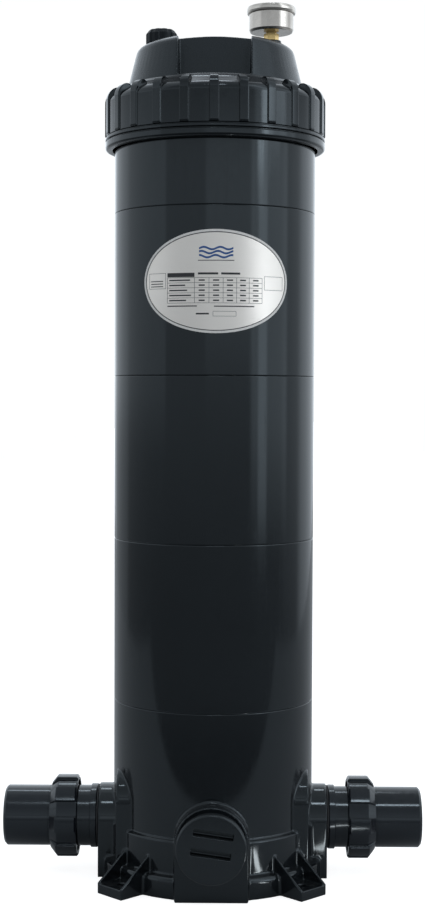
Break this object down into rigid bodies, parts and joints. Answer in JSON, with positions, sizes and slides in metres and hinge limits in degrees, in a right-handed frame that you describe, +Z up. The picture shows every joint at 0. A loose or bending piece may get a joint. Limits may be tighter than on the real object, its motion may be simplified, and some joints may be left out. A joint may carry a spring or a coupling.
{
  "type": "cartridge filter housing",
  "caption": "Upright pool cartridge filter housing with a ribbed lock ring, conical lid with gauge and air valve, pipe unions, drain plug and footed base.",
  "frame": {"origin": "on the floor under the tank's axis, in the middle of the base's flange", "axes": "+Z up along the tank, +X towards the outlet union, -Y towards the drain plug and the label"},
  "size_m": [0.44, 0.26, 0.911],
  "materials": {
    "tank": "glossy moulded black",
    "ring": "glossy moulded black",
    "lid": "glossy moulded black",
    "knob": "satin black",
    "plug": "glossy moulded black",
    "union": "glossy moulded black",
    "hub": "moulded dark grey",
    "seal": "satin",
    "brass": "turned",
    "gauge_steel": "satin stainless",
    "gauge_bright": "polished stainless",
    "lens": "clear",
    "dial": "matt white",
    "pointer": "matt black",
    "label": "brushed silver",
    "media": "pleated spunbond",
    "core": "moulded",
    "end_cap": "cast polyurethane"
  },
  "bodies": {
    "root": {"base": "tank", "body_segment_1": "tank", "body_segment_2": "tank", "body_segment_3": "tank", "neck": "tank", "outlet_hub": "hub", "hub_o_ring": "seal", "label_plate": "label", "left_port_o_ring": "seal", "left_union_adaptor": "union", "left_union_o_ring": "seal", "left_union_tail": "union", "right_port_o_ring": "seal", "right_union_adaptor": "union", "right_union_o_ring": "seal", "right_union_tail": "union"},
    "lid": {"lid": "lid", "lid_o_ring": "seal", "air_valve_seat": "brass", "gauge_stem": "brass", "gauge_case": "gauge_steel", "gauge_bezel": "gauge_bright", "gauge_lens": "lens", "gauge_dial": "dial", "bourdon_tube": "brass", "gauge_movement": "brass"},
    "lock_ring": {"lock_ring": "ring"},
    "air_valve_seal": {"air_valve_o_ring": "seal"},
    "air_valve_knob": {"air_valve_knob": "knob"},
    "gauge_pointer": {"gauge_pointer": "pointer"},
    "cartridge": {"cartridge_media": "media", "cartridge_core": "core", "cartridge_top_cap": "end_cap", "cartridge_bottom_cap": "end_cap"},
    "drain_seal": {"drain_o_ring": "seal"},
    "drain_plug": {"drain_plug": "plug"},
    "left_union_nut": {"left_union_nut": "union"},
    "right_union_nut": {"right_union_nut": "union"}
  },
  "joints": [
    {"name": "lid_lift", "type": "slide", "parent": "root", "child": "lid", "axis": [0, 0, 1], "range_m": [0, 0.85]},
    {"name": "lock_ring_turn", "type": "hinge", "parent": "lid", "child": "lock_ring", "pos_m": [0, 0, 0.79], "axis": [0, 0, 1], "range_deg": [0, 810]},
    {"name": "air_valve_rise", "type": "slide", "parent": "lid", "child": "air_valve_seal", "axis": [0, 0, 1], "range_m": [0, 0.00225]},
    {"name": "air_valve_turn", "type": "hinge", "parent": "air_valve_seal", "child": "air_valve_knob", "pos_m": [-0.0565, 0, 0.88], "axis": [0, 0, 1], "range_deg": [0, 541]},
    {"name": "gauge_pointer_turn", "type": "hinge", "parent": "lid", "child": "gauge_pointer", "pos_m": [0.0585, 0, 0.9], "axis": [0, 0, -1], "range_deg": [0, 270], "stiffness_Nm_per_rad": 0.0005},
    {"name": "cartridge_lift", "type": "slide", "parent": "root", "child": "cartridge", "axis": [0, 0, 1], "range_m": [0, 0.749]},
    {"name": "drain_plug_draw", "type": "slide", "parent": "root", "child": "drain_seal", "axis": [0, -1, 0], "range_m": [0, 0.0241]},
    {"name": "drain_plug_turn", "type": "hinge", "parent": "drain_seal", "child": "drain_plug", "pos_m": [0, -0.13, 0.0585], "axis": [0, -1, 0], "range_deg": [0, 2160]},
    {"name": "left_union_nut_turn", "type": "hinge", "parent": "root", "child": "left_union_nut", "pos_m": [-0.155, 0, 0.057], "axis": [-1, 0, 0], "range_deg": [0, 900]},
    {"name": "right_union_nut_turn", "type": "hinge", "parent": "root", "child": "right_union_nut", "pos_m": [0.155, 0, 0.057], "axis": [1, 0, 0], "range_deg": [0, 900]}
  ],
  "couplings": [
    {"joint": "cartridge_lift", "follows": "lid_lift", "ratio": 0.88},
    {"joint": "air_valve_turn", "follows": "air_valve_rise", "rad_per_m": 4188.8},
    {"joint": "drain_plug_draw", "follows": "drain_plug_turn", "m_per_rad": 0.00063662}
  ]
}
